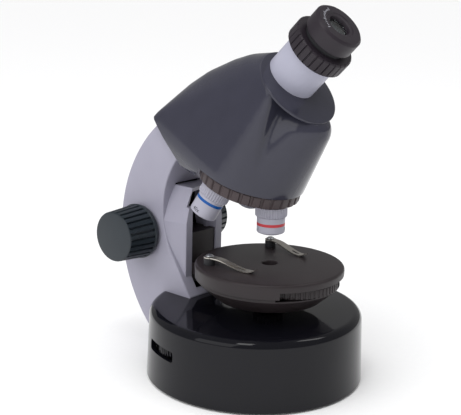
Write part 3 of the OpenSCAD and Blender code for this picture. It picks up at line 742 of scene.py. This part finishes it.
# Warm-grey ABS with a silky grain.
turret_abs = moulded("warm_grey_abs", "#43393b", "#3b3234", 0.40, 12, 3, 0.45, 6)
turret = moved(turned("turret_ring", eased((3.06, 0), (29.6, 0, 0.3), (turret_r, 0.7, 0.4),
    (turret_r, turret_h - 0.5, 0.3), (turret_r - 0.6, turret_h, 0.2), (3.06, turret_h)), 600,
    notched(30, 0.72, 0.95, 29.9, soft=0.06)), on_turret)
bosses = [moved(turned(f"boss_{a}", eased((thread_r + 0.05, seat_z), (10, seat_z, 0.3), (10,
    seat_z + 8), (thread_r + 0.05, seat_z + 8)), 96), at_station(a)) for a in stations]
joined(turret, *bosses)
fitted(turret, turret_abs, "turret", "turret_plastic", "turret_disc")
dressed(zinc_steel, "turret_axle", "turret_detent")


# Objectives ----------------------------------------------------------------------------------
# Three light-grey ABS barrels screwed up into the turret, each with a ribbed collar to turn it
# by, a printed colour ring and its magnification, and a small lens in the tip.
# Light-grey ABS, satin: even and clean with a soft highlight.
light_grey_abs = moulded("light_grey_abs", "#a4a3b0", "#9d9ca9", 0.36, 10, 2, 0.4, 3, coat=0.08,
    coat_rough=0.25)
# Black pad-printing ink for the magnification.
print_ink = moulded("pad_print_ink", "#2c2d31", "#232428", 0.5, 3, 1, 0.2, 1)
# Each objective: its name, tip height, ring height, ink and slot of the ring, magnification,
# and the angle that its figure faces.
objectives = [("low", 91.0, 97.0, "#b8343c", "band_red", "4x", -62),
    ("medium", 90.0, 98.0, "#d8b23a", "band_yellow", "10x", -90),
    ("high", 88.5, 98.8, "#0a4f96", "band_blue", "40x", -62)]
lens_r, band_half = 3.2, 0.85
for (power, tip, band_z, ink, band_slot, figure, figure_turn), station in zip(objectives,
        stations):
    low, high, r = band_z - band_half, band_z + band_half, objective_r
    barrel = turned(f"objective_barrel_{power}", eased((lens_r, tip + 0.3), (6.2, tip, 0.3), (r,
        tip + 0.9, 0.9), (r, low - 0.05), (r - 0.15, low), (r - 0.15, high), (r, high + 0.05),
        (r + 0.05, seat_z - 6.6, 0.3), (collar_r, seat_z - 5.4, 0.3), (collar_r, seat_z - 0.2),
        (thread_r, seat_z - 0.05), (thread_r, thread_top), (4.5, thread_top), (4.5, tip + 3),
        (lens_r, tip + 2)), 324, notched(36, 0.55, 0.75, 9.0, (seat_z - 5.8, seat_z - 0.6),
        0.2))
    moved(barrel, at_station(station))
    fitted(barrel, light_grey_abs, "turret", "objective_grey", f"objective_{power}")
    # Printed ring: a thin even film of ink.
    ring_ink = moulded(f"{power}_ring_ink", ink, ink, 0.35, 4, 1, 0.3, 1)
    band = moved(turned(f"colour_ring_{power}", eased((r - 0.2, low), (r + 0.04, low, 0.04),
        (r + 0.04, high, 0.04), (r - 0.2, high)), 192), at_station(station))
    fitted(band, ring_ink, "turret", band_slot, f"band_{power}")
    lens = moved(turned(f"front_lens_{power}", eased((lens_r, tip + 0.5), (lens_r, tip + 1.8),
        (0, tip + 1.8), (0, tip + 0.8), (1.6, tip + 0.62)), 64), at_station(station))
    fitted(lens, coated_glass, "turret", "lens_glass", "objective_lenses")
    # The magnification is printed near the tip, and wraps round the barrel.
    writing = bpy.data.curves.new(f"figure_{power}", "FONT")
    writing.body, writing.size, writing.extrude = figure, 3.4 * mm, 0.03 * mm
    writing.align_x, writing.align_y, writing.resolution_u = "CENTER", "CENTER", 3
    flat = bpy.data.objects.new(f"figure_{power}", writing)
    bpy.context.collection.objects.link(flat)
    bpy.context.view_layer.update()
    shape = bpy.data.meshes.new_from_object(flat.evaluated_get(
        bpy.context.evaluated_depsgraph_get()))
    bpy.data.objects.remove(flat)
    for corner in shape.vertices:
        turn = math.radians(figure_turn) + corner.co.x / (r * mm)
        out = r * mm + corner.co.z + 0.01 * mm
        corner.co = (out * math.cos(turn), out * math.sin(turn), corner.co.y + (tip + 3.2) * mm)
    label = bpy.data.objects.new(f"magnification_{power}", shape)
    bpy.context.collection.objects.link(label)
    moved(label, at_station(station))
    fitted(label, print_ink, "turret", "objective_grey")


# Head ----------------------------------------------------------------------------------------
# A charcoal ABS cover, polished like the base: a hood that closes over the arm's end, a broad
# rounded nose over the turret, and a flat round collar that the eyepiece tube comes out of.
mirror_at, lean = Vector((0, -10, 173.2)), math.radians(45)
on_eyepiece = Matrix.Translation(mirror_at) @ Matrix.Rotation(lean, 4, "X")
rear_s, rear_half = -69.0, 22.2
collar_off, collar_rim, collar_s = -7.2, 26.0, 16.5
head_wall = 1.8
head_low = turret_h + 0.5
tube_r = 15.3


def hoop(place, at, radius, count=96):
    """Points round a circle at a height of some axis."""
    return [place @ Vector((at[0] + radius * math.cos(2 * math.pi * i / count),
        at[1] + radius * math.sin(2 * math.pi * i / count), at[2])) for i in range(count)]


def wrapped(name, points):
    """The tight skin round a cloud of points in mm."""
    made = piece(name, [], [])
    form = bmesh.new()
    for p in points:
        form.verts.new(p * mm)
    bmesh.ops.remove_doubles(form, verts=form.verts, dist=0.01 * mm)
    found = bmesh.ops.convex_hull(form, input=form.verts)
    bmesh.ops.delete(form, geom=[g for g in found["geom_interior"]
        if isinstance(g, bmesh.types.BMVert)], context="VERTS")
    form.to_mesh(made.data)
    form.free()
    return smoothed(made)


# The nose's dome, how far round the rim the hood reaches, and the hoops that the hood's crown
# follows from the rear up to the collar: their middle, height and radius in the tube's frame.
nose_at, nose_size = Vector((0, -23, 156)), Vector((18, 25, 16))
valley_turn = math.radians(-38)
crown_hoops = [(24.5, -60, 22.2), (22.4, -41, 22.3), (19.5, -25.6, 21.4), (10.9, -6.6, 22.5),
    (3.4, 4.5, 24.3), (collar_off, collar_s, collar_rim - 0.3)]


def head_form(name, inset, past_rear, low, grid_mm, rounds):
    """The head's skin moved in by inset: a hood over the arm, and a nose over the turret."""
    side = rear_half - inset
    rear = [on_eyepiece @ Vector((x, k, s)) for s in (past_rear, -66) for x, k in
        ((-side, 9.6 + inset / 2), (side, 9.6 + inset / 2), (side, 41 - inset),
        (-side, 41 - inset), (-13, 45 - inset), (13, 45 - inset))]
    rim_r = turret_r + 1 - inset
    rim = hoop(on_turret, (0, 0, low), rim_r) + hoop(on_turret, (0, 0, turret_h + 3), rim_r)
    back_rim = [p for p in rim if (on_turret.inverted() @ p).y > rim_r * math.sin(valley_turn)]
    crown = [p for at, s, r in [(24.5, past_rear, 22.2)] + crown_hoops
        for p in hoop(on_eyepiece, (0, at, s), r - inset)]
    crown = [p for p in crown if (on_eyepiece.inverted() @ p).y > collar_off - 3]
    dome = [nose_at + Vector((math.cos(a) * math.cos(b) * (nose_size.x - inset), math.sin(a)
        * math.cos(b) * (nose_size.y - inset), math.sin(b) * (nose_size.z - inset)))
        for a in np.linspace(0, 2 * math.pi, 64, endpoint=False)
        for b in np.linspace(-math.pi / 2, math.pi / 2, 33)]
    made = joined(wrapped(name, rear + back_rim + crown), wrapped("nose", rim + dome))
    weld = made.modifiers.new("weld", "REMESH")
    weld.mode, weld.voxel_size, weld.adaptivity = "VOXEL", grid_mm * mm, 0
    soften = made.modifiers.new("soften", "SMOOTH")
    soften.factor, soften.iterations = 0.5, rounds
    settled(made, 60)
    # Both ends are cut flat: the rear over the arm, and the deck under the collar.
    form = bmesh.new()
    form.from_mesh(made.data)
    for at, facing in ((past_rear + 6, -1), (collar_s - 1 - inset, 1)):
        cut = bmesh.ops.bisect_plane(form, geom=form.verts[:] + form.edges[:] + form.faces[:],
            plane_co=on_eyepiece @ Vector((0, 0, at)) * mm,
            plane_no=on_eyepiece.to_3x3() @ Vector((0, 0, facing)), clear_outer=True)
        bmesh.ops.holes_fill(form, edges=[e for e in cut["geom_cut"]
            if isinstance(e, bmesh.types.BMEdge)], sides=0)
    form.to_mesh(made.data)
    form.free()
    return smoothed(made, 60)


head = head_form("head_cover", 0, rear_s - 6, head_low - 3, 0.9, 40)
hollow = head_form("hollow", head_wall, rear_s - 12, head_low - 1.5, 1.5, 8)
pocket = moved(punch("pocket", turret_r + 7, -20, head_low, 128),
    on_turret @ Matrix.Translation((0, -6, 0)))
bore = moved(punch("bore", tube_r - 0.05, 0, 40, 128), on_eyepiece)
carved(head, pocket, bore, hollow, crease=50)
# Charcoal ABS from the same polished tool as the base.
gloss_charcoal_abs = moulded("gloss_charcoal_abs", "#353541", "#30303b", 0.14, 12, 3, 0.9, 0.3,
    coat=0.15)
fitted(head, gloss_charcoal_abs, "stand", "gloss_charcoal", "head_shell")
collar = moved(turned("head_collar", eased((collar_rim - 2, collar_s - 2), (collar_rim,
    collar_s - 1.6, 0.3), (collar_rim, collar_s, 0.6), (0, collar_s + 0.1), (0, collar_s - 2)),
    192, crease=40), on_eyepiece @ Matrix.Translation((0, collar_off, 0)))
carved(collar, moved(punch("bore", tube_r - 0.05, 0, 40, 128), on_eyepiece), crease=40)
fitted(collar, gloss_charcoal_abs, "stand", "gloss_charcoal")
dressed(matt_black_abs, "head_frame", "mirror_bracket")
dressed(zinc_steel, "head_screws")
# Front-silvered glass: a clean mirror with hardly any haze.
silvered_glass = bright_metal("silvered_glass", "#eef0f2", "#e8eaec", 0.05, 2.0, depth_um=0.1,
    spread=0.02)
dressed(silvered_glass, "mirror")


# Eyepiece ------------------------------------------------------------------------------------
# A light-grey tube fixed in the head carries a black sleeve that draws out as the ribbed zoom
# ring is turned. The screwed cap on the sleeve holds the eye lens.
ring_r, cap_r = 18.6, 15.2
tube_bore = tube_r - 2
sleeve_r, sleeve_wall = tube_bore - 0.3, 1.6
ring_s, ring_h, cap_s, face_s = 38.0, 10.0, 51.0, 61.5
# Pale lavender-grey ABS, satin, a shade lighter than the arm.
pale_grey_abs = moulded("pale_grey_abs", "#a8a8b8", "#a1a1b1", 0.38, 14, 2, 0.45, 3, coat=0.08,
    coat_rough=0.25)
tube = moved(turned("sight_tube", eased((tube_bore, 11.6), (tube_r, 11.6), (tube_r, 37.7,
    0.3), (tube_r - 0.6, 37.7), (tube_r - 0.6, 46, 0.2), (tube_bore, 46, 0.2)), 192), on_eyepiece)
fitted(tube, pale_grey_abs, "stand", "tube_grey", "eyepiece_tube")
# Brown-black ABS of the eyepiece, matt with a fine grain.
eyepiece_abs = moulded("eyepiece_black_abs", "#29232a", "#241f25", 0.42, 10, 3, 0.4, 6)
ring = moved(turned("ribbed_zoom_ring", eased((tube_r - 0.3, 0), (ring_r - 0.9, 0, 0.2),
    (ring_r, 0.9, 0.2), (ring_r, ring_h - 0.8, 0.2), (ring_r - 0.8, ring_h, 0.2), (tube_bore,
    ring_h), (tube_bore, 8.3), (tube_r - 0.3, 8.3)), 672, notched(28, 0.84, 0.75,
    ring_r - 0.95, soft=0.07)), on_eyepiece @ Matrix.Translation((0, 0, ring_s)))
fitted(ring, eyepiece_abs, "zoom", "eyepiece_black", "zoom_ring")
sleeve = moved(turned("sliding_sleeve", eased((sleeve_r - sleeve_wall, 24), (sleeve_r, 24, 0.2),
    (sleeve_r, cap_s + 0.5, 0.2), (sleeve_r - sleeve_wall, cap_s + 0.5)), 160), on_eyepiece)
fitted(sleeve, matt_black_abs, "eyepiece", "eyepiece_black", "eyepiece_sleeve")
# The cap's face is flat, with a shallow step down to the eye lens.
cap = moved(turned("ocular_cap", eased((sleeve_r, cap_s), (cap_r - 0.3, cap_s, 0.2), (cap_r,
    cap_s + 0.4, 0.2), (cap_r, 60.0, 0.5), (cap_r - 1.5, face_s - 0.1, 0.3), (9.0, face_s, 0.1),
    (8.7, 60.9, 0.1), (6.9, 60.7, 0.1), (6.3, 59.2), (6.3, 57.5), (11, 57.4), (11, cap_s + 0.5),
    (sleeve_r, cap_s + 0.5)), 480, notched(96, 0.5, 0.16, cap_r - 0.05, (53.2, 58.6), 0.3),
    crease=36), on_eyepiece)
fitted(cap, eyepiece_abs, "eyepiece", "eyepiece_black", "eyepiece_cap")
# A ring of plain ticks is printed on the cap's face, every fifth one longer.
tick_half, tick_in, tick_out, tick_first, tick_pitch = 0.12, 10.2, 11.2, 5, 6
scale = joined(*[moved(block(f"tick_{i}", (-tick_half, tick_in, face_s - 0.03), (tick_half,
    tick_out if i % 5 else tick_out + 0.8, face_s + 0.03)), on_eyepiece
    @ Matrix.Rotation(math.radians(tick_first + tick_pitch * i), 4, "Z")) for i in range(16)])
scale.name = "dioptre_scale"
white_ink = moulded("white_pad_ink", "#c9cbd4", "#c2c4cd", 0.5, 3, 1, 0.2, 1)
fitted(scale, white_ink, "eyepiece", "eyepiece_black")
for name, r, low, high, belly in (("eye_lens", 6.25, 55.8, 58.4, 1.0), ("field_lens",
        sleeve_r - sleeve_wall - 0.05, 27, 29.4, 0.6)):
    bulge = [(r * math.cos(t), high + belly * math.sin(t)) for t in np.linspace(0.2, 1.4, 9)]
    lens = moved(turned(f"{name}_glass", [(r, low), (r, high)] + bulge + [(0, high + belly),
        (0, low)], 96), on_eyepiece)
    fitted(lens, coated_glass, "eyepiece", "lens_glass", name)
